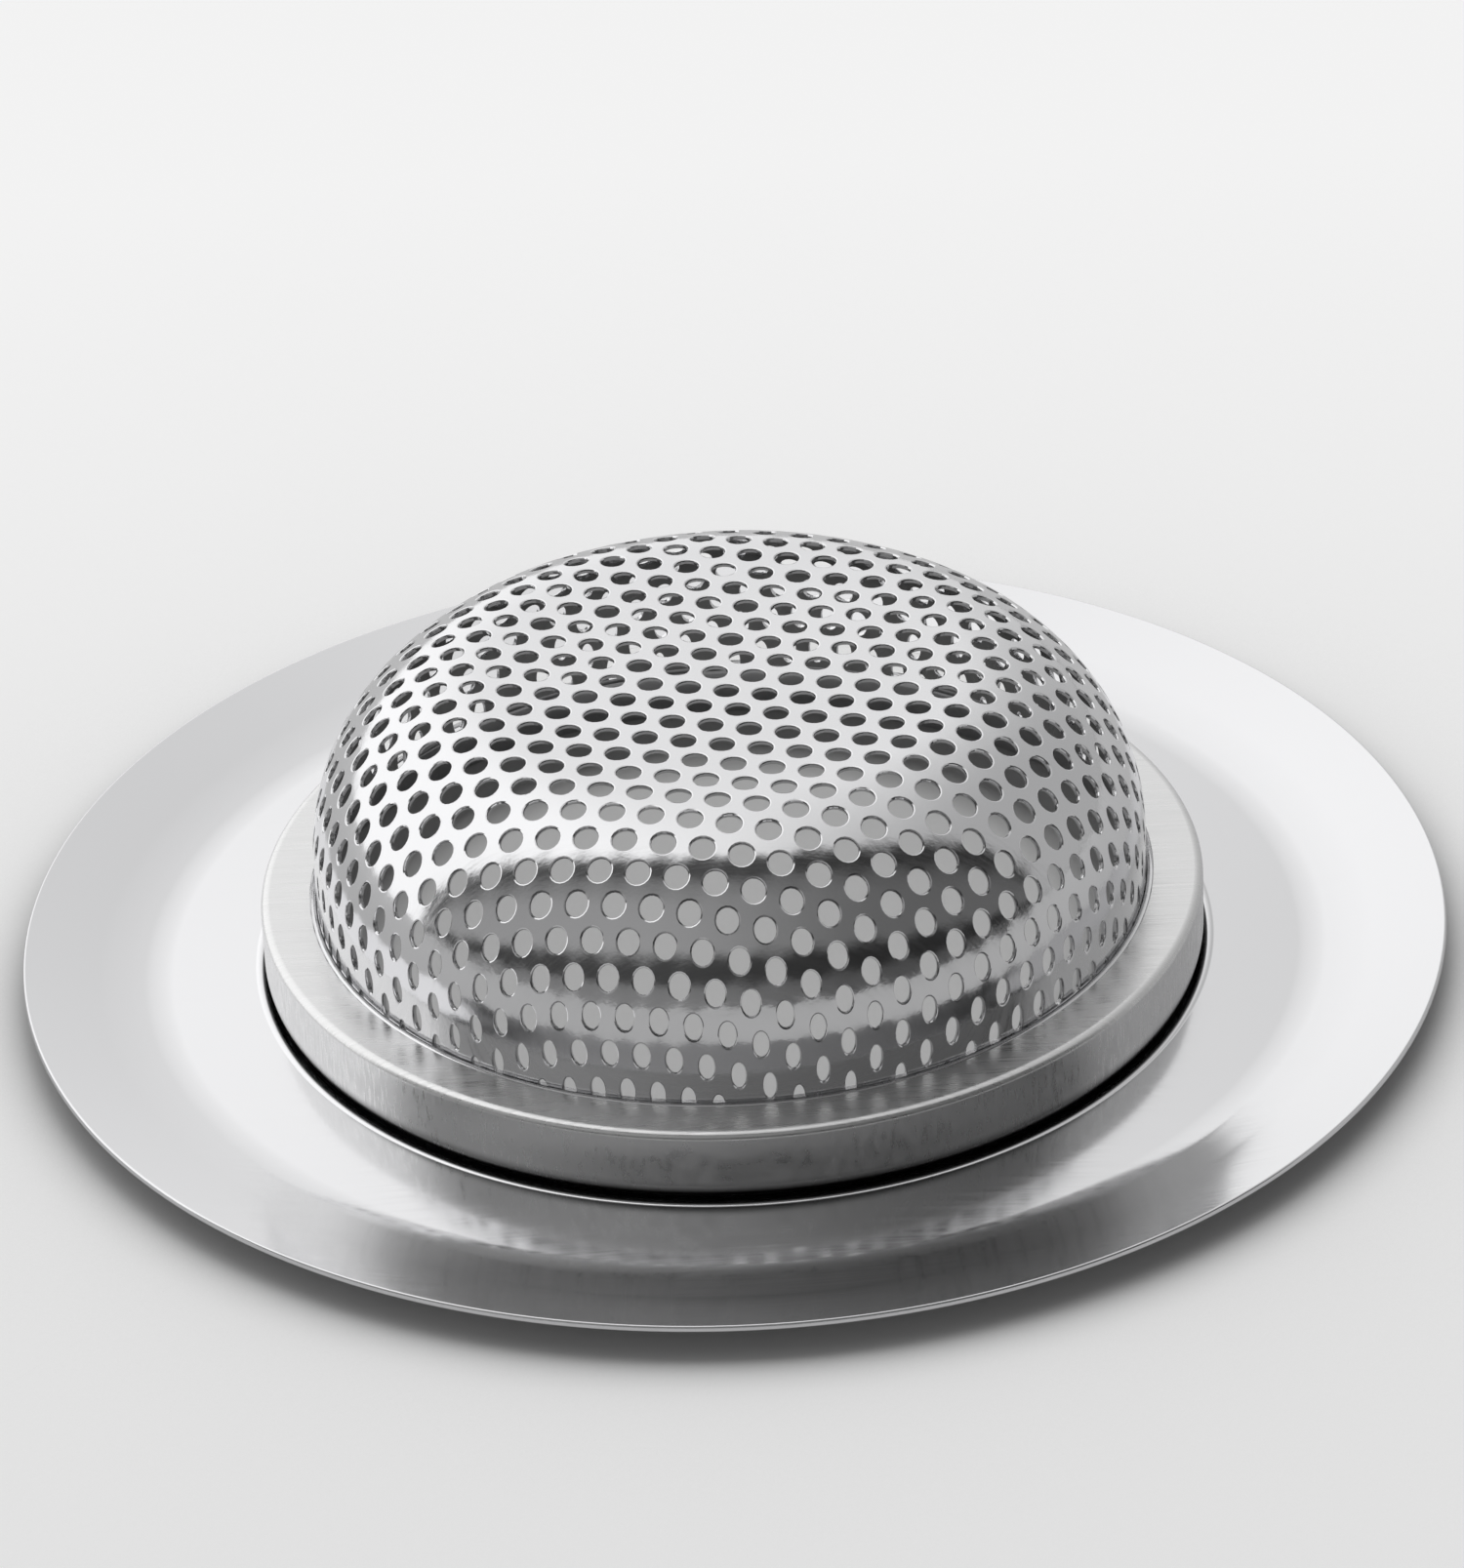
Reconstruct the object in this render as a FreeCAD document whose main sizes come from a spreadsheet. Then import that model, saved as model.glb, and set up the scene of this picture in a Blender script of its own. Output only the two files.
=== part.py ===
import FreeCAD, Part
import math
import os
import Sketcher

# Sink strainer, standing upside down on the flat zone of its flange, perforated dome up.
# Millimetres, +Z up, origin on the table under the middle of the dome.

DOC = FreeCAD.newDocument("sink_strainer")
SHEET = DOC.addObject("Spreadsheet::Sheet", "Sizes")

SIZES = [
    # Perforated dome
    ("crown_radius", 19.0, "flat top of the dome, as far as the bend"),
    ("shoulder_radius", 12.7, "upper bend of the dome, outside"),
    ("shoulder_angle", 32.0, "slope where the upper bend gives way to the lower one, degrees"),
    ("shoulder_run", 0.15, "straight run between the two bends"),
    ("flank_radius", 15.5, "lower bend of the dome, outside"),
    ("wall_height", 3.65, "straight wall between the lower bend and the foot"),
    ("foot_bend", 0.4, "bend from the wall to the lip, outside"),
    ("basket_sheet", 0.4, "thickness of the perforated sheet"),
    # Perforation of the flat blank
    ("hole_diameter", 1.96, "hole in the flat blank"),
    ("hole_pitch", 3.07, "distance between neighbouring holes in the blank"),
    ("row_angle", -14.7, "direction of the hole rows from +X, degrees"),
    ("row_shift_x", -0.47, "hole nearest the axis, along X"),
    ("row_shift_y", -0.31, "hole nearest the axis, along Y"),
    ("punch_overrun", 0.35, "how far the punches reach past the sheet on both sides"),
    # Crimp ring, the collar round the foot of the dome
    ("collar_height", 7.1, "top of the collar over the table"),
    ("collar_gap", 0.45, "gap between the dome's wall and the collar"),
    ("ledge_width", 4.05, "width of the collar seen from above"),
    ("collar_round", 0.75, "outer top edge of the collar"),
    ("collar_sheet", 0.4, "thickness of the collar's sheet"),
    ("collar_edge", 0.15, "rounding of the collar's cut edges"),
    ("press_clearance", 0.02, "gap left between faces that are pressed together"),
    # Wide flange
    ("flange_sheet", 0.5, "thickness of the flange's sheet"),
    ("flat_width", 8.277, "flat zone of the flange, from the neck's bend to the crease"),
    ("crease_slope", 10.5, "slope of the flange just outside the crease, degrees"),
    ("crease_bend", 12.0, "soft bend at the crease, upper face"),
    ("swell_run", 0.25, "straight run between the crease and the next bend"),
    ("swell_bend", 45.0, "wide bend from the crease's slope to the outer band's, upper face"),
    ("band_width", 7.5, "outer band of the flange, from the wide bend's middle to the edge"),
    ("band_slope", 15.35, "slope of the outer band, degrees"),
    ("neck_bend", 0.8, "bend from the flat zone into the neck, upper face"),
    ("seat_bend", 1.0, "bend from the neck into the basket's seat, upper face"),
    ("seat_gap", 0.6, "how far the seat's edge stays outside the dome's wall"),
    ("rim_edge", 0.15, "rounding of the flange's cut edge"),
]

for row, (alias, value, meaning) in enumerate(SIZES, start=1):
    SHEET.set(f"A{row}", alias)
    SHEET.set(f"B{row}", str(value))
    SHEET.set(f"C{row}", meaning)
    SHEET.setAlias(f"B{row}", alias)
DOC.recompute()


def cell(alias):
    """The expression that reads one size of the sheet."""
    return f"Sizes.{alias}"


def value(expression):
    """The number that an expression on the sheet comes to."""
    return float(SHEET.evalExpression(expression))


# Lengths and heights that follow from the sheet, each an expression.
C = {alias: cell(alias) for alias, _, _ in SIZES}
SLOPE = f"{C['shoulder_angle']} * 1 deg"
SHOULDER_REACH = f"({C['shoulder_radius']} * tan({SLOPE} / 2))"
FLANK_REACH = f"({C['flank_radius']} * tan(45 deg - {SLOPE} / 2))"
SHOULDER_CORNER = f"({C['crown_radius']} + {SHOULDER_REACH})"
SLOPE_LENGTH = f"({SHOULDER_REACH} + {C['shoulder_run']} + {FLANK_REACH})"
WALL_RADIUS = f"({SHOULDER_CORNER} + {SLOPE_LENGTH} * cos({SLOPE}))"

LIP_TOP = f"({C['collar_height']} - {C['collar_sheet']} - {C['press_clearance']})"
WALL_FOOT = f"({LIP_TOP} + {C['foot_bend']})"
FLANK_CORNER = f"({WALL_FOOT} + {C['wall_height']} + {FLANK_REACH})"
CROWN_TOP = f"({FLANK_CORNER} + {SLOPE_LENGTH} * sin({SLOPE}))"

COLLAR_BORE = f"({WALL_RADIUS} + {C['collar_gap']})"
COLLAR_RADIUS = f"({COLLAR_BORE} + {C['ledge_width']})"
COLLAR_INSIDE = f"({COLLAR_RADIUS} - {C['collar_sheet']})"
LIP_RADIUS = f"({COLLAR_RADIUS} - {C['collar_round']} - {C['press_clearance']})"

NECK_RADIUS = f"({COLLAR_INSIDE} - {C['press_clearance']})"
NECK_TOP_OF_BEND = f"({C['flange_sheet']} + {C['neck_bend']})"
COLLAR_FOOT = f"({NECK_TOP_OF_BEND} + {C['press_clearance']})"
CREASE_SLOPE = f"({C['crease_slope']} * 1 deg)"
BAND_SLOPE = f"({C['band_slope']} * 1 deg)"
CREASE_RADIUS = f"({NECK_RADIUS} + {C['neck_bend']} + {C['flat_width']})"
CREASE_REACH = f"({C['crease_bend']} * tan({CREASE_SLOPE} / 2))"
SWELL_REACH = f"({C['swell_bend']} * tan(({BAND_SLOPE} - {CREASE_SLOPE}) / 2))"
SWELL_LENGTH = f"({CREASE_REACH} + {C['swell_run']} + {SWELL_REACH})"
SWELL_RADIUS = f"({CREASE_RADIUS} + {SWELL_LENGTH} * cos({CREASE_SLOPE}))"
SWELL_HEIGHT = f"({C['flange_sheet']} + {SWELL_LENGTH} * sin({CREASE_SLOPE}))"
RIM_RADIUS = f"({SWELL_RADIUS} + {C['band_width']})"
RIM_TOP = f"({SWELL_HEIGHT} + {C['band_width']} * tan({BAND_SLOPE}))"
SEAT_TOP = f"({LIP_TOP} - {C['basket_sheet']} - {C['press_clearance']})"
SEAT_RADIUS = f"({WALL_RADIUS} + {C['seat_gap']})"


def thicker(expression, sheet):
    """An expression and a sheet's thickness together."""
    return f"({expression} + {C[sheet]})"


def thinner(expression, sheet):
    """An expression less a sheet's thickness."""
    return f"({expression} - {C[sheet]})"


def revolved_body(label, corners):
    """A body turned about Z from a closed outline of (radius, height, bend) corners; a bend may be None."""
    body = DOC.addObject("PartDesign::Body", label)
    body.Label = label
    sketch = body.newObject("Sketcher::SketchObject", label + "_section")
    plane = next(f for f in body.Origin.OriginFeatures if f.Role == "XZ_Plane")
    sketch.AttachmentSupport = (plane, [""])
    sketch.MapMode = "FlatFace"

    points = [FreeCAD.Vector(value(r), value(z), 0) for r, z, _ in corners]
    count = len(points)
    for i in range(count):
        sketch.addGeometry(Part.LineSegment(points[i], points[(i + 1) % count]), False)
    for i in range(count):
        sketch.addConstraint(Sketcher.Constraint("Coincident", i, 2, (i + 1) % count, 1))
    for i, (radius, height, _) in enumerate(corners):
        across = sketch.addConstraint(Sketcher.Constraint("DistanceX", -1, 1, i, 1, points[i].x))
        sketch.setExpression(f"Constraints[{across}]", radius)
        upward = sketch.addConstraint(Sketcher.Constraint("DistanceY", -1, 1, i, 1, points[i].y))
        sketch.setExpression(f"Constraints[{upward}]", height)
    DOC.recompute()

    for i, (_, _, bend) in enumerate(corners):
        if bend is None:
            continue
        sketch.fillet(i, 1, value(bend), True, True)
        arc = sketch.GeometryCount - 1
        while not isinstance(sketch.Geometry[arc], Part.ArcOfCircle):
            arc -= 1
        constraint = sketch.addConstraint(Sketcher.Constraint("Radius", arc, value(bend)))
        sketch.setExpression(f"Constraints[{constraint}]", bend)
    DOC.recompute()

    turn = body.newObject("PartDesign::Revolution", label + "_turned")
    turn.Profile = sketch
    turn.ReferenceAxis = (sketch, ["V_Axis"])
    turn.Angle = 360
    body.Tip = turn
    DOC.recompute()
    return body


# Wide flange: outer band, flat zone, neck and the seat turned in under the basket's lip.
# The lower face's corners are set over or back by what the sheet's thickness needs at each turn.
SWELL_SHIFT = f"({C['flange_sheet']} / cos(({BAND_SLOPE} - {CREASE_SLOPE}) / 2))"
SWELL_LEAN = f"(({BAND_SLOPE} + {CREASE_SLOPE}) / 2)"
SWELL_LOW_RADIUS = f"({SWELL_RADIUS} + {SWELL_SHIFT} * sin({SWELL_LEAN}))"
SWELL_LOW_HEIGHT = f"({SWELL_HEIGHT} - {SWELL_SHIFT} * cos({SWELL_LEAN}))"
CREASE_LOW_RADIUS = f"({CREASE_RADIUS} + {C['flange_sheet']} * tan({CREASE_SLOPE} / 2))"
RIM_BOTTOM = f"({RIM_TOP} - {C['flange_sheet']} / cos({BAND_SLOPE}))"
NECK_INSIDE = thinner(NECK_RADIUS, "flange_sheet")

rim_flange = revolved_body("rim_flange", [
    (RIM_RADIUS, RIM_BOTTOM, C["rim_edge"]),
    (RIM_RADIUS, RIM_TOP, C["rim_edge"]),
    (SWELL_RADIUS, SWELL_HEIGHT, C["swell_bend"]),
    (CREASE_RADIUS, C["flange_sheet"], C["crease_bend"]),
    (NECK_RADIUS, C["flange_sheet"], C["neck_bend"]),
    (NECK_RADIUS, SEAT_TOP, C["seat_bend"]),
    (SEAT_RADIUS, SEAT_TOP, None),
    (SEAT_RADIUS, thinner(SEAT_TOP, "flange_sheet"), None),
    (NECK_INSIDE, thinner(SEAT_TOP, "flange_sheet"), thinner(C["seat_bend"], "flange_sheet")),
    (NECK_INSIDE, "0", thicker(C["neck_bend"], "flange_sheet")),
    (CREASE_LOW_RADIUS, "0", thicker(C["crease_bend"], "flange_sheet")),
    (SWELL_LOW_RADIUS, SWELL_LOW_HEIGHT, thicker(C["swell_bend"], "flange_sheet")),
])

# Crimp ring: a cap pressed over the neck, its ledge holding the basket's lip down on the seat.
crimp_ring = revolved_body("crimp_ring", [
    (COLLAR_RADIUS, COLLAR_FOOT, C["collar_edge"]),
    (COLLAR_RADIUS, C["collar_height"], C["collar_round"]),
    (COLLAR_BORE, C["collar_height"], C["collar_edge"]),
    (COLLAR_BORE, thinner(C["collar_height"], "collar_sheet"), C["collar_edge"]),
    (COLLAR_INSIDE, thinner(C["collar_height"], "collar_sheet"),
     thinner(C["collar_round"], "collar_sheet")),
    (COLLAR_INSIDE, COLLAR_FOOT, None),
])

# Dome without its holes: crown, two bends, wall, foot and lip, a sheet of one thickness.
SHOULDER_SLIDE = f"({C['basket_sheet']} * tan({SLOPE} / 2))"
FLANK_SLIDE = f"({C['basket_sheet']} * tan(45 deg - {SLOPE} / 2))"
dome_blank = revolved_body("dome_blank", [
    ("0", CROWN_TOP, None),
    (SHOULDER_CORNER, CROWN_TOP, C["shoulder_radius"]),
    (WALL_RADIUS, FLANK_CORNER, C["flank_radius"]),
    (WALL_RADIUS, LIP_TOP, C["foot_bend"]),
    (LIP_RADIUS, LIP_TOP, None),
    (LIP_RADIUS, thinner(LIP_TOP, "basket_sheet"), None),
    (thinner(WALL_RADIUS, "basket_sheet"), thinner(LIP_TOP, "basket_sheet"),
     thicker(C["foot_bend"], "basket_sheet")),
    (thinner(WALL_RADIUS, "basket_sheet"), f"({FLANK_CORNER} - {FLANK_SLIDE})",
     thinner(C["flank_radius"], "basket_sheet")),
    (f"({SHOULDER_CORNER} - {SHOULDER_SLIDE})", thinner(CROWN_TOP, "basket_sheet"),
     thinner(C["shoulder_radius"], "basket_sheet")),
    ("0", thinner(CROWN_TOP, "basket_sheet"), None),
])


class DrawnSheet:
    """How the flat perforated blank lies on the dome once it is drawn: every ring of it keeps its area."""

    STEPS = 4000

    def __init__(self):
        self.crown = value(C["crown_radius"])
        self.top = value(CROWN_TOP)
        self.wall = value(WALL_RADIUS)
        slope = math.radians(value(C["shoulder_angle"]))
        shoulder = value(C["shoulder_radius"])
        flank = value(C["flank_radius"])
        run = value(C["shoulder_run"])
        end = self.top - value(WALL_FOOT)
        quarter = math.pi / 2
        # Stretches of the profile from the axis outwards: length, slope at the start, slope at the end.
        self.stretches = [
            (self.crown, 0.0, 0.0),
            (shoulder * slope, 0.0, slope),
            (run, slope, slope),
            (flank * (quarter - slope), slope, quarter),
            (end, quarter, quarter),
        ]
        self.length = sum(stretch[0] for stretch in self.stretches)
        self.table = self.march()

    def slope_at(self, distance):
        """Slope of the profile at a distance along it from the axis."""
        for length, start, finish in self.stretches:
            if distance <= length:
                return start + (finish - start) * distance / length
            distance -= length
        return math.pi / 2

    def march(self):
        """Walks down the profile: radius in the blank, then radius, height and slope on the dome."""
        step = self.length / self.STEPS
        radius, height, area = 0.0, self.top, 0.0
        rows = [(0.0, 0.0, self.top, 0.0)]
        for i in range(self.STEPS):
            slope = self.slope_at((i + 0.5) * step)
            last = radius
            radius += step * math.cos(slope)
            height -= step * math.sin(slope)
            area += step * (radius + last)
            rows.append((math.sqrt(area), radius, height, slope))
        return rows

    def place(self, blank_radius):
        """Radius, height and slope on the dome of a point of the blank, or None past the wall's foot."""
        low, high = 0, len(self.table) - 1
        if blank_radius > self.table[high][0]:
            return None
        while high - low > 1:
            middle = (low + high) // 2
            if self.table[middle][0] <= blank_radius:
                low = middle
            else:
                high = middle
        before, after = self.table[low], self.table[high]
        part = (blank_radius - before[0]) / (after[0] - before[0])
        return tuple(a + (b - a) * part for a, b in zip(before[1:], after[1:]))


def punch(x, y, drawn, height_limit):
    """The prism that punches the hole which lay at (x, y) in the blank, or None below the height limit."""
    blank_radius = math.hypot(x, y)
    spot = drawn.place(blank_radius)
    if spot is None or spot[1] < height_limit:
        return None
    radius, height, slope = spot
    around = math.atan2(y, x)
    squeeze = radius / blank_radius if blank_radius > drawn.crown else 1.0
    outward = FreeCAD.Vector(math.cos(around), math.sin(around), 0)
    normal = outward * math.sin(slope) + FreeCAD.Vector(0, 0, 1) * math.cos(slope)
    across = FreeCAD.Vector(-math.sin(around), math.cos(around), 0)
    along = normal.cross(across)
    sheet = value(C["basket_sheet"])
    overrun = value(C["punch_overrun"])
    half = value(C["hole_diameter"]) / 2
    outside = outward * radius + FreeCAD.Vector(0, 0, height)
    inside = outside - normal * (sheet + overrun)
    depth = sheet + 2 * overrun
    if blank_radius <= drawn.crown:
        return Part.makeCylinder(half, depth, inside, normal)
    oval = Part.Ellipse(inside + along * (half / squeeze), inside + across * (half * squeeze), inside)
    return Part.Face(Part.Wire(oval.toShape())).extrude(normal * depth)


def hole_punches():
    """Every punch of the staggered pattern that meets the dome above its foot bend."""
    drawn = DrawnSheet()
    pitch = value(C["hole_pitch"])
    turn = math.radians(value(C["row_angle"]))
    shift_x, shift_y = value(C["row_shift_x"]), value(C["row_shift_y"])
    reach = math.ceil(drawn.table[-1][0] / pitch * 2 / math.sqrt(3)) + 1
    height_limit = value(WALL_FOOT) + value(C["hole_diameter"]) / 2
    punches = []
    for row in range(-reach, reach + 1):
        for place in range(-reach, reach + 1):
            along = pitch * (place + row / 2)
            across = pitch * row * math.sqrt(3) / 2
            x = along * math.cos(turn) - across * math.sin(turn) + shift_x
            y = along * math.sin(turn) + across * math.cos(turn) + shift_y
            prism = punch(x, y, drawn, height_limit)
            if prism is not None:
                punches.append(prism)
    return punches


punches = DOC.addObject("Part::Feature", "hole_punches")
punches.Shape = Part.makeCompound(hole_punches())

basket = DOC.addObject("Part::Cut", "basket")
basket.Label = "basket"
basket.Base = dome_blank
basket.Tool = punches
basket.Refine = False
DOC.recompute()

# Every object has to be sound before anything is written.
for item in DOC.Objects:
    if "Invalid" in item.State or "Error" in item.State:
        raise RuntimeError(f"{item.Label} did not compute: {item.State}")

os.makedirs("parts", exist_ok=True)
for piece in (rim_flange, crimp_ring, basket):
    shape = piece.Shape
    if shape.isNull() or not shape.isValid() or len(shape.Solids) != 1:
        raise RuntimeError(f"{piece.Label} is not one sound solid")
    print(f"{piece.Label}: {shape.Volume:.1f} mm3")
    shape.exportStep(f"parts/{piece.Label}.step")
for name, expression in (("rim radius", RIM_RADIUS), ("rim top", RIM_TOP), ("collar radius", COLLAR_RADIUS),
                         ("collar foot", COLLAR_FOOT), ("wall radius", WALL_RADIUS), ("height", CROWN_TOP)):
    print(f"{name}: {value(expression):.3f} mm")
print("holes:", len(punches.Shape.Solids))
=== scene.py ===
import bmesh
import bpy
import math
from mathutils import Matrix, Vector, noise


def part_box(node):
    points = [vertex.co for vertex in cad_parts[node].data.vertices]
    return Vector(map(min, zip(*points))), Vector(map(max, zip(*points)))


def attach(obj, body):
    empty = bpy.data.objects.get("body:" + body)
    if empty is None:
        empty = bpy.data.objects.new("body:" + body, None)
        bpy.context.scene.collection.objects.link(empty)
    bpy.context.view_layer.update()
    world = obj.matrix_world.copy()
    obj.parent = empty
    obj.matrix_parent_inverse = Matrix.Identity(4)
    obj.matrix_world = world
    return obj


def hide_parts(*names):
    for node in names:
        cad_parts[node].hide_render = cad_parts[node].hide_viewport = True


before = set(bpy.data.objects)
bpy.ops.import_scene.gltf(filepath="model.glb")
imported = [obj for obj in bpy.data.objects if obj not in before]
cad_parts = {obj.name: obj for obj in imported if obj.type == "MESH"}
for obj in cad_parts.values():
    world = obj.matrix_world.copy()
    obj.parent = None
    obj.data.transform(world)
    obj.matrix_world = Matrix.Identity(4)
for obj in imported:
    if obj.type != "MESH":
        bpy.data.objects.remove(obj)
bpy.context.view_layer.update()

MM = 0.001
QUARTER = math.pi / 2
FULL = 4 * QUARTER
SIXTH = FULL / 6

# Basket: the dome's profile and the perforated blank that it is drawn from, as in the solids
CROWN_RADIUS = 19.0 * MM
SHOULDER_RADIUS = 12.7 * MM
SHOULDER_SLOPE = math.radians(32.0)
SHOULDER_RUN = 0.15 * MM
FLANK_RADIUS = 15.5 * MM
FOOT_BEND = 0.4 * MM
BASKET_SHEET = 0.4 * MM
HOLE_RADIUS = 0.98 * MM
HOLE_PITCH = 3.07 * MM
ROW_ANGLE = math.radians(-14.7)
ROW_SHIFT = Vector((-0.47, -0.31, 0.0)) * MM
LIP_INSET = 0.75 * MM

# Basket: what punching and drawing do to the holes and the sheet, which the solids leave out
HOLE_ROLL = 0.14 * MM
HOLE_BREAKOUT = 0.10 * MM
PINCH_ALONG_ROWS = 1.0
PINCH_ACROSS_ROWS = 2.0
PINCH_DOWN_WALL = 0.3
DENT_DEPTH = 0.10 * MM
DENT_SIZE = 13.0 * MM

# Collar: wall and ledge as in the solids, with a bevelled edge and a foot rolled inwards
COLLAR_GAP = 0.45 * MM
COLLAR_SHEET = 0.4 * MM
COLLAR_EDGE = 0.15 * MM
EDGE_WIDTH = 0.55 * MM
EDGE_DROP = 0.24 * MM
EDGE_BEND = 0.8 * MM
EDGE_ROUND = 0.5 * MM
FOOT_ROLL = 2.0 * MM
ROLL_TURN = math.radians(35.0)
ROLL_RUN = 0.05 * MM
PRESS_CLEARANCE = 0.02 * MM

# Flange: outer band as in the solids, then a zone that falls slightly away from a low bead beside the collar
FLANGE_SHEET = 0.5 * MM
RIM_EDGE = 0.15 * MM
BAND_WIDTH = 7.5 * MM
BAND_SLOPE = math.radians(15.35)
SWELL_BEND = 45.0 * MM
SWELL_LENGTH = 3.2584 * MM
CREASE_SLOPE = math.radians(10.5)
CREASE_FOLD = 8.0 * MM
FLAT_WIDTH = 9.89 * MM
FLAT_FALL = math.radians(4.7)
BEAD_GAP = 0.407 * MM
BEAD_FLANK = 0.35 * MM
BEAD_RISE = 0.2 * MM
BEAD_SWEEP = 0.3 * MM
BEAD_BEND = 0.6 * MM
GROOVE_INSET = 0.343 * MM
GROOVE_HEIGHT = 0.9 * MM
GROOVE_BEND = 0.4 * MM
NECK_INSET = 1.233 * MM
SEAT_BEND = 1.0 * MM
SEAT_GAP = 0.6 * MM

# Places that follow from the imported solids
RIM_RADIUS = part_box("rim_flange")[1][0]
COLLAR_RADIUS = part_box("crimp_ring")[1][0]
COLLAR_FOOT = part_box("crimp_ring")[0][2]
COLLAR_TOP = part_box("crimp_ring")[1][2]
CROWN_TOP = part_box("basket")[1][2]
LIP_RADIUS = COLLAR_RADIUS - LIP_INSET - PRESS_CLEARANCE
LIP_TOP = COLLAR_TOP - COLLAR_SHEET - PRESS_CLEARANCE
SEAT_TOP = LIP_TOP - BASKET_SHEET - PRESS_CLEARANCE
FOOT_TOP = LIP_TOP + FOOT_BEND
NECK_RADIUS = COLLAR_RADIUS - NECK_INSET
BEAD_RADIUS = COLLAR_RADIUS + BEAD_GAP
BEAD_FOOT_RADIUS = BEAD_RADIUS + BEAD_FLANK
CREASE_RADIUS = NECK_RADIUS + FLAT_WIDTH
CREASE_SAG = (CREASE_FOLD + FLANGE_SHEET) * (
    math.tan((CREASE_SLOPE + FLAT_FALL) / 2) * math.sin(FLAT_FALL) + math.cos(FLAT_FALL) - 1)
CREASE_HEIGHT = FLANGE_SHEET - CREASE_SAG
BEAD_FOOT_HEIGHT = CREASE_HEIGHT + (CREASE_RADIUS - BEAD_FOOT_RADIUS) * math.tan(FLAT_FALL)
SWELL_RADIUS = CREASE_RADIUS + SWELL_LENGTH * math.cos(CREASE_SLOPE)
SWELL_HEIGHT = FLANGE_SHEET + SWELL_LENGTH * math.sin(CREASE_SLOPE)
RIM_TOP = SWELL_HEIGHT + BAND_WIDTH * math.tan(BAND_SLOPE)
SLOPE_LENGTH = (SHOULDER_RADIUS * math.tan(SHOULDER_SLOPE / 2) + SHOULDER_RUN
                + FLANK_RADIUS * math.tan(QUARTER / 2 - SHOULDER_SLOPE / 2))
WALL_RADIUS = (CROWN_RADIUS + SHOULDER_RADIUS * math.tan(SHOULDER_SLOPE / 2)
               + SLOPE_LENGTH * math.cos(SHOULDER_SLOPE))

# How finely the pieces are made
TURN_STEPS = 240
BEND_SEGMENTS = 8
HOLE_SEGMENTS = 18
SHARP_ANGLE = math.radians(18.0)
MERGE_DISTANCE = 0.002 * MM

# Steel finishes: tone, roughness with fine rolling marks, how far the surface wavers, and painted shade
MARKS_TURN = math.radians(35.0)
MARKS_SCALE = (120.0, 6000.0, 600.0)
MARKS_DETAIL = 4.0
MARKS_LOW = 0.3
MARKS_HIGH = 0.7
MARKS_SHARE = 0.3
WOBBLE_DETAIL = 1.0
FLANGE_TONE = (0.74, 0.74, 0.75)
FLANGE_ROUGHNESS = 0.15
FLANGE_WOBBLE = 0.002 * MM
FLANGE_WOBBLE_SIZE = 6.0 * MM
COLLAR_TONE = (0.72, 0.72, 0.72)
COLLAR_ROUGHNESS = 0.32
COLLAR_WOBBLE = 0.001 * MM
COLLAR_WOBBLE_SIZE = 5.0 * MM
# Painted shade on the collar: its colour goes dark from the upper height down to the lower one, for the
# groove's shadow at its foot
FOOT_SHADE_TONE = 0.03
FOOT_SHADE_TOP = 2.9 * MM
FOOT_SHADE_BOTTOM = 1.6 * MM
BASKET_TONE = (0.72, 0.72, 0.73)
BASKET_ROUGHNESS = 0.12
BASKET_WOBBLE = 0.02 * MM
BASKET_WOBBLE_SIZE = 5.0 * MM
PEEL = 0.004 * MM
PEEL_SIZE = 0.35 * MM
PEEL_DETAIL = 2.0
# Painted shade: the dome's inner face is a darker copy of the basket's steel, for the shade inside the
# basket
INSIDE_SHADE_TONE = (0.30, 0.30, 0.30)
INSIDE_ROUGHNESS = 0.35
INSIDE_WOBBLE = 0.002 * MM
INSIDE_WOBBLE_SIZE = 3.0 * MM

# Table: its grey, its glow from front to back, its shade near the object and its light inside the basket
TABLE_REACH = 3.0
TABLE_TONE = (0.45, 0.45, 0.45)
TABLE_ROUGHNESS = 0.9
TABLE_SHINE = 0.2
GLOW_FRONT = -0.12
GLOW_BACK = 0.14
TABLE_GLOW_FRONT = 0.48
TABLE_GLOW_BACK = 0.62
MIRRORED_GLOW = 0.5
SHADE_DEPTH = 0.05
SHADE_DARKEST = 0.45
SHADE_REACH = 110.0 * MM
SHADE_SAMPLES = 8
INNER_GLOW = 0.28
INNER_LIT = 26.0 * MM
INNER_DARK = 32.0 * MM

# Light: levels along an arch, in degrees from the camera's horizon over the top, and from left to right
TENT_LEVELS = [(0, 0.20), (11, 0.18), (16, 0.05), (27, 0.05), (35, 0.30), (62, 0.28), (72, 0.20), (79, 0.06),
               (86, 0.06), (91, 1.0), (180, 1.0)]
LEFT_END = -0.5
RIGHT_END = 0.75
LEFT_LEVEL = 1.3
RIGHT_LEVEL = 0.5


def finished(bm, name, materials, node):
    """Turns a bmesh into the piece that stands for a node, smooth but for its sharp edges."""
    for face in bm.faces:
        face.smooth = True
    for edge in bm.edges:
        edge.smooth = len(edge.link_faces) != 2 or edge.calc_face_angle() < SHARP_ANGLE
    mesh = bpy.data.meshes.new(name)
    bm.to_mesh(mesh)
    bm.free()
    piece = bpy.data.objects.new(name, mesh)
    bpy.context.collection.objects.link(piece)
    for material in materials:
        mesh.materials.append(material)
    even = piece.modifiers.new("even_shading", "WEIGHTED_NORMAL")
    even.mode = "FACE_AREA"
    even.keep_sharp = True
    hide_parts(node)
    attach(piece, "root")
    return piece


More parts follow.
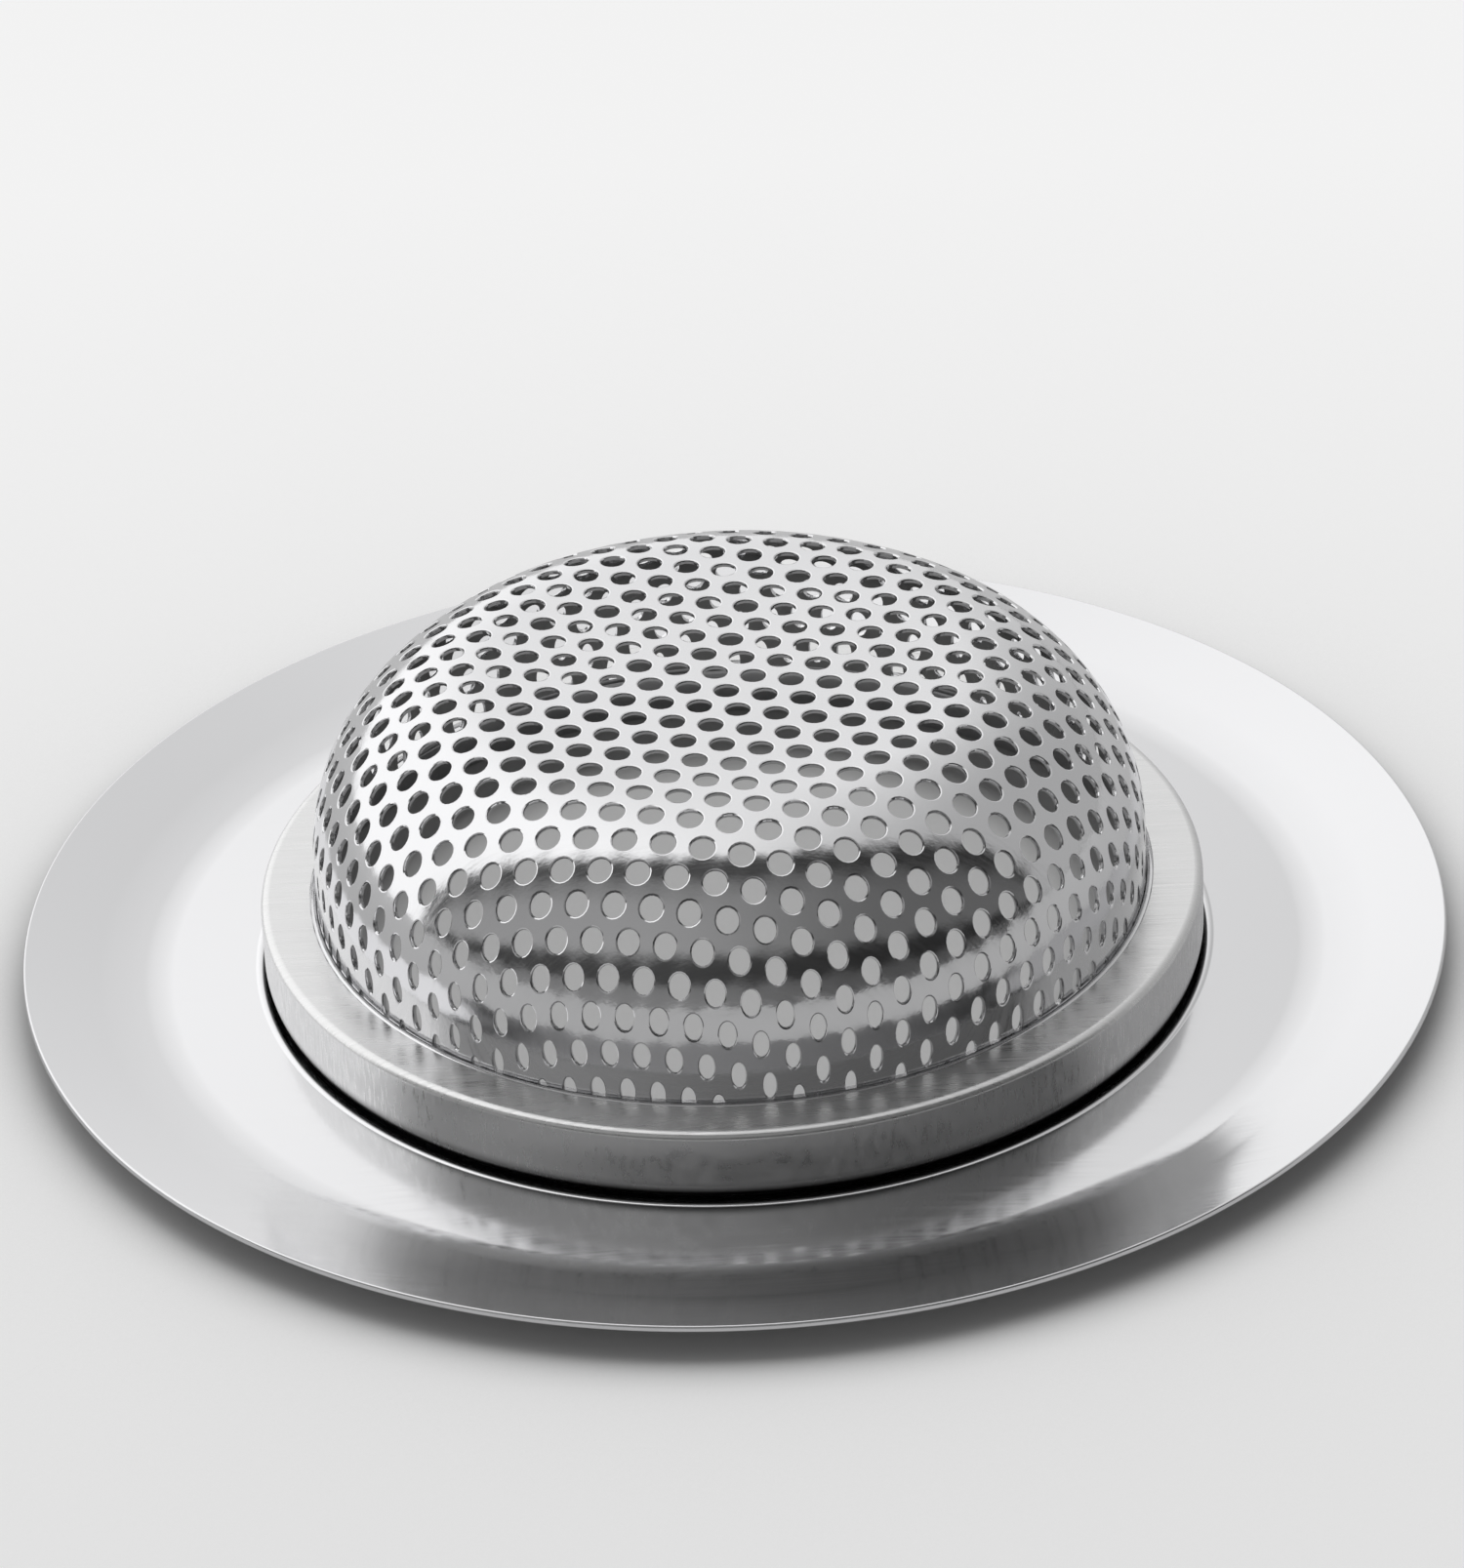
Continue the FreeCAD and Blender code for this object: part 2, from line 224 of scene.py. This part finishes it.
def turned_section(bm, corners):
    """Spins a closed outline of (radius, height, bend) corners about Z, each bend rounded first."""
    verts = [bm.verts.new((radius, 0.0, height)) for radius, height, _ in corners]
    section = bm.faces.new(verts)
    count = len(corners)
    for i, (vert, (_, _, bend)) in enumerate(zip(verts, corners)):
        if bend:
            before = Vector(corners[i - 1][:2]) - Vector(corners[i][:2])
            after = Vector(corners[(i + 1) % count][:2]) - Vector(corners[i][:2])
            reach = bend / math.tan(before.angle(after) / 2)
            bmesh.ops.bevel(bm, geom=[vert], affect="VERTICES", offset=reach, segments=BEND_SEGMENTS,
                            profile=0.5, material=-1, clamp_overlap=False)
    section = bm.faces[:][-1]
    outline = section.edges[:]
    rim = section.verts[:]
    bmesh.ops.delete(bm, geom=[section], context="FACES_ONLY")
    bmesh.ops.spin(bm, geom=rim + outline, cent=(0, 0, 0), axis=(0, 0, 1), angle=FULL,
                   steps=TURN_STEPS, use_merge=True, use_duplicate=False)
    bmesh.ops.remove_doubles(bm, verts=bm.verts[:], dist=MERGE_DISTANCE)
    bmesh.ops.recalc_face_normals(bm, faces=bm.faces[:])


def sheet_section(path, thickness):
    """The closed outline of a bent sheet, from the (radius, height, bend) corners of one of its faces.

    The other face lies to the left of the path.
    """
    points = [Vector((radius, height)) for radius, height, _ in path]
    runs = [(after - before).normalized() for before, after in zip(points, points[1:])]
    sides = [Vector((-run.y, run.x)) for run in runs]
    last = len(path) - 1
    back = []
    for i, (point, (_, _, bend)) in enumerate(zip(points, path)):
        before, after = max(i - 1, 0), min(i, last - 1)
        corner = point + (sides[before] + sides[after]) * thickness / (1 + sides[before].dot(sides[after]))
        if bend and 0 < i < last:
            bend += -thickness if runs[before].cross(runs[after]) > 0 else thickness
        back.append((corner.x, corner.y, bend))
    return list(path) + back[::-1]


def make_flange(material):
    """The wide rim: outer band, inner zone with its bead, groove, neck and the seat for the basket's lip."""
    edge_lean = FLANGE_SHEET * math.sin(BAND_SLOPE)
    bm = bmesh.new()
    turned_section(bm, sheet_section([
        (RIM_RADIUS - edge_lean, RIM_TOP - edge_lean * math.tan(BAND_SLOPE), RIM_EDGE),
        (SWELL_RADIUS, SWELL_HEIGHT, SWELL_BEND),
        (CREASE_RADIUS, CREASE_HEIGHT, CREASE_FOLD),
        (BEAD_FOOT_RADIUS, BEAD_FOOT_HEIGHT, BEAD_SWEEP),
        (BEAD_RADIUS, BEAD_FOOT_HEIGHT + BEAD_RISE, BEAD_BEND),
        (COLLAR_RADIUS - GROOVE_INSET, GROOVE_HEIGHT, GROOVE_BEND),
        (NECK_RADIUS, GROOVE_HEIGHT, GROOVE_BEND),
        (NECK_RADIUS, SEAT_TOP, SEAT_BEND),
        (WALL_RADIUS + SEAT_GAP, SEAT_TOP, None),
    ], FLANGE_SHEET))
    return finished(bm, "flange_pressing", [material], "rim_flange")


def make_collar(material):
    """The crimp ring: a low cap over the neck, its ledge holding the basket's lip."""
    bore = WALL_RADIUS + COLLAR_GAP
    roll_length = FOOT_ROLL * math.tan(ROLL_TURN / 2) + ROLL_RUN
    roll_height = COLLAR_FOOT + roll_length * math.cos(ROLL_TURN)
    bm = bmesh.new()
    turned_section(bm, sheet_section([
        (COLLAR_RADIUS - roll_length * math.sin(ROLL_TURN), COLLAR_FOOT, COLLAR_EDGE),
        (COLLAR_RADIUS, roll_height, FOOT_ROLL),
        (COLLAR_RADIUS, COLLAR_TOP - EDGE_DROP, EDGE_ROUND),
        (COLLAR_RADIUS - EDGE_WIDTH, COLLAR_TOP, EDGE_BEND),
        (bore, COLLAR_TOP, COLLAR_EDGE),
    ], COLLAR_SHEET))
    return finished(bm, "collar_pressing", [material], "crimp_ring")


class DrawnSheet:
    """Where a point of the flat blank comes to lie on the dome: every ring of the blank keeps its area."""

    STEPS = 3000

    def __init__(self, wall_length):
        # Stretches of the profile from the axis outwards: length, slope at the start, slope at the end
        self.stretches = [
            (CROWN_RADIUS, 0.0, 0.0),
            (SHOULDER_RADIUS * SHOULDER_SLOPE, 0.0, SHOULDER_SLOPE),
            (SHOULDER_RUN, SHOULDER_SLOPE, SHOULDER_SLOPE),
            (FLANK_RADIUS * (QUARTER - SHOULDER_SLOPE), SHOULDER_SLOPE, QUARTER),
            (wall_length, QUARTER, QUARTER),
        ]
        step = sum(stretch[0] for stretch in self.stretches) / self.STEPS
        radius, height, area = 0.0, CROWN_TOP, 0.0
        self.rows = [(0.0, 0.0, height, 0.0)]
        for i in range(self.STEPS):
            slope = self.slope_at((i + 0.5) * step)
            last = radius
            radius += step * math.cos(slope)
            height -= step * math.sin(slope)
            area += step * (radius + last)
            self.rows.append((math.sqrt(area), radius, height, self.slope_at((i + 1) * step)))
        self.reach = self.rows[-1][0]

    def slope_at(self, distance):
        """Slope of the profile at a distance along it from the axis."""
        for length, start, finish in self.stretches:
            if distance <= length:
                return start + (finish - start) * distance / length
            distance -= length
        return QUARTER

    def place(self, blank_radius):
        """Radius, height and slope on the dome of a point of the blank."""
        low, high = 0, len(self.rows) - 1
        while high - low > 1:
            middle = (low + high) // 2
            if self.rows[middle][0] <= blank_radius:
                low = middle
            else:
                high = middle
        before, after = self.rows[low], self.rows[high]
        share = (blank_radius - before[0]) / (after[0] - before[0])
        return [a + (b - a) * share for a, b in zip(before[1:], after[1:])]


def blank_cell():
    """One cell of the flat perforated blank: a hexagon with a punched hole, both faces and its wall."""
    corner = HOLE_PITCH / math.sqrt(3)
    half_roll = HOLE_ROLL * (1 - math.sqrt(0.5))
    section = [
        (corner, 0.0),
        (HOLE_RADIUS + HOLE_ROLL, 0.0),
        (HOLE_RADIUS + half_roll, half_roll),
        (HOLE_RADIUS, HOLE_ROLL),
        (HOLE_RADIUS + HOLE_BREAKOUT, BASKET_SHEET),
        (corner, BASKET_SHEET),
    ]
    bm = bmesh.new()
    verts = [bm.verts.new((0.0, radius, -depth)) for radius, depth in section]
    edges = [bm.edges.new(pair) for pair in zip(verts, verts[1:])]
    bmesh.ops.spin(bm, geom=verts + edges, cent=(0, 0, 0), axis=(0, 0, -1), angle=FULL,
                   steps=HOLE_SEGMENTS, use_merge=True, use_duplicate=False)
    for vert in bm.verts:
        flat = vert.co.xy
        if flat.length > HOLE_PITCH / 2:
            off_middle = math.atan2(flat.x, flat.y) % SIXTH - SIXTH / 2
            vert.co.xy = flat.normalized() * HOLE_PITCH / 2 / math.cos(off_middle)
    for face in bm.faces:
        # The inner face takes the second material, the darker copy painted with the shade inside the dome
        face.material_index = int(face.calc_center_median().z < MERGE_DISTANCE - BASKET_SHEET)
    return bm


def nearest_hole(flat):
    """Centre of the hole whose cell of the blank a point lies in."""
    row_height = HOLE_PITCH * math.sqrt(3) / 2
    low_row = math.floor(flat.y / row_height)
    centres = []
    for row in (low_row, low_row + 1):
        column = round(flat.x / HOLE_PITCH - row / 2)
        centres.append(Vector((HOLE_PITCH * (column + row / 2), row_height * row, 0.0)))
    return min(centres, key=lambda centre: (flat - centre).length)


def pinched(offset, centre, drawn):
    """A point of a hole's edge after the draw has closed the hole more than the sheet round it."""
    if centre.length < CROWN_RADIUS:
        return offset
    squeeze = drawn.place(centre.length)[0] / centre.length
    along_rows = (1 + math.cos(6 * (math.atan2(centre.y, centre.x) - QUARTER - ROW_ANGLE))) / 2
    pinch = PINCH_ACROSS_ROWS + (PINCH_ALONG_ROWS - PINCH_ACROSS_ROWS) * along_rows
    outward = Matrix.Rotation(-ROW_ANGLE, 3, "Z") @ centre.normalized()
    reach = outward * offset.dot(outward)
    return reach * squeeze ** PINCH_DOWN_WALL + (offset - reach) * squeeze ** pinch


def perforated_blank(reach):
    """The flat blank out to a radius: cells in staggered rows, joined where they meet."""
    cell = bpy.data.meshes.new("blank_cell")
    punched = blank_cell()
    punched.to_mesh(cell)
    punched.free()
    turn = Matrix.Rotation(ROW_ANGLE, 3, "Z")
    count = math.ceil(reach / HOLE_PITCH * 2 / math.sqrt(3))
    bm = bmesh.new()
    for row in range(-count, count + 1):
        for column in range(-count, count + 1):
            place = Vector((HOLE_PITCH * (column + row / 2), HOLE_PITCH * row * math.sqrt(3) / 2, 0.0))
            if (turn @ place + ROW_SHIFT).length < reach - HOLE_PITCH:
                cell.transform(Matrix.Translation(place))
                bm.from_mesh(cell)
                cell.transform(Matrix.Translation(-place))
    bpy.data.meshes.remove(cell)
    bmesh.ops.remove_doubles(bm, verts=bm.verts[:], dist=MERGE_DISTANCE)
    return bm


def draw_over_dome(bm, drawn):
    """Moves every point of the blank to its place on the dome, the holes pinched and the sheet dented."""
    turn = Matrix.Rotation(ROW_ANGLE, 3, "Z")
    edge_of_hole = HOLE_RADIUS + HOLE_ROLL + MERGE_DISTANCE
    for vert in bm.verts:
        depth = vert.co.z
        flat = Vector((vert.co.x, vert.co.y, 0.0))
        centre = nearest_hole(flat)
        if (flat - centre).length < edge_of_hole:
            flat = centre + pinched(flat - centre, turn @ centre + ROW_SHIFT, drawn)
        flat = turn @ flat + ROW_SHIFT
        radius, height, slope = drawn.place(flat.length)
        around = math.atan2(flat.y, flat.x)
        outside = Vector((radius * math.cos(around), radius * math.sin(around), height))
        lift = depth + DENT_DEPTH * noise.noise(outside / DENT_SIZE)
        radius += lift * math.sin(slope)
        vert.co = (radius * math.cos(around), radius * math.sin(around), height + lift * math.cos(slope))


def make_basket(material, inside):
    """The perforated dome: a blank drawn over the dome's profile and trimmed, with its foot and lip."""
    drawn = DrawnSheet(CROWN_TOP - FOOT_TOP)
    bm = perforated_blank(drawn.reach)
    draw_over_dome(bm, drawn)
    cut = bmesh.ops.bisect_plane(bm, geom=bm.verts[:] + bm.edges[:] + bm.faces[:], dist=MERGE_DISTANCE,
                                 plane_co=(0, 0, FOOT_TOP), plane_no=(0, 0, -1), clear_outer=True)
    ends = [item for item in cut["geom_cut"] if isinstance(item, bmesh.types.BMEdge)]
    bmesh.ops.edgeloop_fill(bm, edges=ends)

    foot = bmesh.new()
    turned_section(foot, [
        (WALL_RADIUS, FOOT_TOP, None),
        (WALL_RADIUS, LIP_TOP, FOOT_BEND),
        (LIP_RADIUS, LIP_TOP, None),
        (LIP_RADIUS, LIP_TOP - BASKET_SHEET, None),
        (WALL_RADIUS - BASKET_SHEET, LIP_TOP - BASKET_SHEET, FOOT_BEND + BASKET_SHEET),
        (WALL_RADIUS - BASKET_SHEET, FOOT_TOP, None),
    ])
    foot_mesh = bpy.data.meshes.new("foot_and_lip")
    foot.to_mesh(foot_mesh)
    foot.free()
    bm.from_mesh(foot_mesh)
    bpy.data.meshes.remove(foot_mesh)
    return finished(bm, "drawn_basket", [material, inside], "basket")


def add_node(tree, kind, values=None, **settings):
    """A new shader node with its settings and the values of its inputs."""
    node = tree.nodes.new("ShaderNode" + kind)
    for name, value in settings.items():
        setattr(node, name, value)
    for name, value in (values or {}).items():
        node.inputs[name].default_value = value
    return node


def map_range(tree, source, start, end, first, last, **settings):
    """A value that goes from first to last as its source goes from start to end."""
    limits = {"From Min": start, "From Max": end, "To Min": first, "To Max": last}
    node = add_node(tree, "MapRange", limits, **settings)
    tree.links.new(source, node.inputs["Value"])
    return node.outputs["Result"]


def reckon(tree, operation, first, second):
    """Two values put together by one step of arithmetic."""
    node = add_node(tree, "Math", operation=operation)
    tree.links.new(first, node.inputs[0])
    tree.links.new(second, node.inputs[1])
    return node.outputs["Value"]


def uneven(tree, place, size, detail, depth):
    """A bump of a given depth from soft noise of a given size."""
    waves = add_node(tree, "TexNoise", {"Scale": 1.0 / size, "Detail": detail})
    bump = add_node(tree, "Bump", {"Strength": 1.0, "Distance": depth})
    tree.links.new(place, waves.inputs["Vector"])
    tree.links.new(waves.outputs["Fac"], bump.inputs["Height"])
    return bump


def steel(name, tone, roughness, wobble, wobble_size, peel=0.0):
    """Pressed stainless sheet: rolling marks in its roughness, a faint wobble and, if drawn, a fine peel."""
    material = bpy.data.materials.new(name)
    material.use_nodes = True
    tree = material.node_tree
    shader = tree.nodes["Principled BSDF"]
    shader.inputs["Base Color"].default_value = (*tone, 1.0)
    shader.inputs["Metallic"].default_value = 1.0
    place = add_node(tree, "TexCoord").outputs["Object"]
    lay = add_node(tree, "Mapping", {"Rotation": (0.0, 0.0, MARKS_TURN), "Scale": MARKS_SCALE})
    marks = add_node(tree, "TexNoise", {"Scale": 1.0, "Detail": MARKS_DETAIL})
    tree.links.new(place, lay.inputs["Vector"])
    tree.links.new(lay.outputs["Vector"], marks.inputs["Vector"])
    spread = map_range(tree, marks.outputs["Fac"], MARKS_LOW, MARKS_HIGH,
                       roughness * (1 - MARKS_SHARE), roughness * (1 + MARKS_SHARE))
    tree.links.new(spread, shader.inputs["Roughness"])
    dent = uneven(tree, place, wobble_size, WOBBLE_DETAIL, wobble)
    tree.links.new(dent.outputs["Normal"], shader.inputs["Normal"])
    if peel:
        pits = uneven(tree, place, PEEL_SIZE, PEEL_DETAIL, peel)
        tree.links.new(pits.outputs["Normal"], dent.inputs["Normal"])
    return material


def paint_foot_shade(material, tone):
    """Paints shade on the collar's steel: it goes dark towards the seam at its foot, where that groove lies
    in shadow.
    """
    tree = material.node_tree
    split = add_node(tree, "SeparateXYZ")
    tree.links.new(add_node(tree, "TexCoord").outputs["Object"], split.inputs["Vector"])
    # Painted shade: the base colour darkens with falling height towards the collar's foot
    shade = map_range(tree, split.outputs["Z"], FOOT_SHADE_BOTTOM, FOOT_SHADE_TOP, FOOT_SHADE_TONE, tone,
                      interpolation_type="SMOOTHSTEP")
    tree.links.new(shade, tree.nodes["Principled BSDF"].inputs["Base Color"])


def table_finish():
    """A pale matt grey that glows in the picture and in mirrors, shaded round the object."""
    material = bpy.data.materials.new("table_grey")
    material.use_nodes = True
    tree = material.node_tree
    shader = tree.nodes["Principled BSDF"]
    shader.inputs["Base Color"].default_value = (*TABLE_TONE, 1.0)
    shader.inputs["Roughness"].default_value = TABLE_ROUGHNESS
    shader.inputs["Specular IOR Level"].default_value = TABLE_SHINE
    shader.inputs["Emission Color"].default_value = (1.0, 1.0, 1.0, 1.0)
    place = add_node(tree, "TexCoord").outputs["Object"]
    split = add_node(tree, "SeparateXYZ")
    radius = add_node(tree, "VectorMath", operation="LENGTH")
    open_sky = add_node(tree, "AmbientOcclusion", {"Distance": SHADE_REACH}, samples=SHADE_SAMPLES)
    rays = add_node(tree, "LightPath").outputs
    tree.links.new(place, split.inputs["Vector"])
    tree.links.new(place, radius.inputs[0])
    sweep = map_range(tree, split.outputs["Y"], GLOW_FRONT, GLOW_BACK, TABLE_GLOW_FRONT, TABLE_GLOW_BACK)
    shade = map_range(tree, open_sky.outputs["AO"], SHADE_DARKEST, 1.0, SHADE_DEPTH, 1.0)
    inner = map_range(tree, radius.outputs["Value"], INNER_LIT, INNER_DARK, INNER_GLOW, 0.0)
    lit = reckon(tree, "MAXIMUM", reckon(tree, "MULTIPLY", shade, sweep), inner)
    mirrored = map_range(tree, rays["Is Glossy Ray"], 0.0, 1.0, 0.0, MIRRORED_GLOW)
    direct = reckon(tree, "MAXIMUM", rays["Is Camera Ray"], rays["Is Transmission Ray"])
    seen = reckon(tree, "MAXIMUM", direct, mirrored)
    tree.links.new(reckon(tree, "MULTIPLY", seen, lit), shader.inputs["Emission Strength"])
    return material


def make_table():
    """A plain pale table that runs out of the picture on every side."""
    bm = bmesh.new()
    bmesh.ops.create_grid(bm, x_segments=1, y_segments=1, size=TABLE_REACH)
    mesh = bpy.data.meshes.new("table")
    bm.to_mesh(mesh)
    bm.free()
    mesh.materials.append(table_finish())
    table = bpy.data.objects.new("table", mesh)
    bpy.context.collection.objects.link(table)


def light_studio():
    """A white tent over the back of the set and a dim room on the camera's side, lighter from the left."""
    world = bpy.data.worlds.new("studio")
    bpy.context.scene.world = world
    world.use_nodes = True
    tree = world.node_tree
    background = tree.nodes["Background"]
    split = add_node(tree, "SeparateXYZ")
    toward = add_node(tree, "Math", {1: -1.0}, operation="MULTIPLY")
    tent = add_node(tree, "ValToRGB")
    stops = tent.color_ramp.elements
    for i, (degrees, level) in enumerate(TENT_LEVELS):
        stop = stops[i] if i < len(stops) else stops.new(1.0)
        stop.position = math.radians(degrees) / (2 * QUARTER)
        stop.color = (level, level, level, 1.0)
    tree.links.new(add_node(tree, "TexCoord").outputs["Generated"], split.inputs["Vector"])
    tree.links.new(split.outputs["Y"], toward.inputs[0])
    arch = reckon(tree, "ARCTAN2", split.outputs["Z"], toward.outputs["Value"])
    tree.links.new(map_range(tree, arch, 0.0, 2 * QUARTER, 0.0, 1.0), tent.inputs["Fac"])
    sides = map_range(tree, split.outputs["X"], LEFT_END, RIGHT_END, LEFT_LEVEL, RIGHT_LEVEL,
                      interpolation_type="SMOOTHSTEP")
    tree.links.new(tent.outputs["Color"], background.inputs["Color"])
    tree.links.new(sides, background.inputs["Strength"])


def aim_camera():
    """The photograph's view: from the front, about 32 degrees up, through a long lens, slightly rolled."""
    rise = math.radians(32.217)
    roll = math.radians(-2.805)
    distance = 600.0 * MM
    pixels_per_metre = 12.772 / MM
    picture_height = 1607
    sensor = 36.0
    stand = Vector((0.0, 0.0, RIM_TOP - FLANGE_SHEET))
    middle = stand + Vector((0.42, 0.0, 12.67)) * MM
    place = stand + Vector((0.0, -math.cos(rise), math.sin(rise))) * distance
    ahead = (middle - place).normalized()
    level = ahead.cross(Vector((0.0, 0.0, 1.0))).normalized()
    upright = level.cross(ahead)
    right = level * math.cos(roll) + upright * math.sin(roll)
    top = upright * math.cos(roll) - level * math.sin(roll)
    lens = bpy.data.cameras.new("camera")
    lens.sensor_width = sensor
    lens.lens = sensor * pixels_per_metre * distance / picture_height
    lens.clip_start = distance / 100
    camera = bpy.data.objects.new("camera", lens)
    bpy.context.collection.objects.link(camera)
    turn = Matrix((right, top, -ahead)).transposed()
    camera.matrix_world = Matrix.Translation(place) @ turn.to_4x4()
    bpy.context.scene.camera = camera


flange_steel = steel("flange_satin", FLANGE_TONE, FLANGE_ROUGHNESS, FLANGE_WOBBLE, FLANGE_WOBBLE_SIZE)
collar_steel = steel("collar_satin", COLLAR_TONE, COLLAR_ROUGHNESS, COLLAR_WOBBLE, COLLAR_WOBBLE_SIZE)
paint_foot_shade(collar_steel, COLLAR_TONE[0])
basket_steel = steel("basket_polish", BASKET_TONE, BASKET_ROUGHNESS, BASKET_WOBBLE, BASKET_WOBBLE_SIZE, PEEL)
# Painted shade: a darker copy of the steel for the dome's inner face
shaded_inside_steel = steel("basket_inside_shaded", INSIDE_SHADE_TONE, INSIDE_ROUGHNESS, INSIDE_WOBBLE, INSIDE_WOBBLE_SIZE)
make_flange(flange_steel)
make_collar(collar_steel)
make_basket(basket_steel, shaded_inside_steel)
make_table()
light_studio()
aim_camera()
bpy.context.scene.view_settings.view_transform = "Standard"
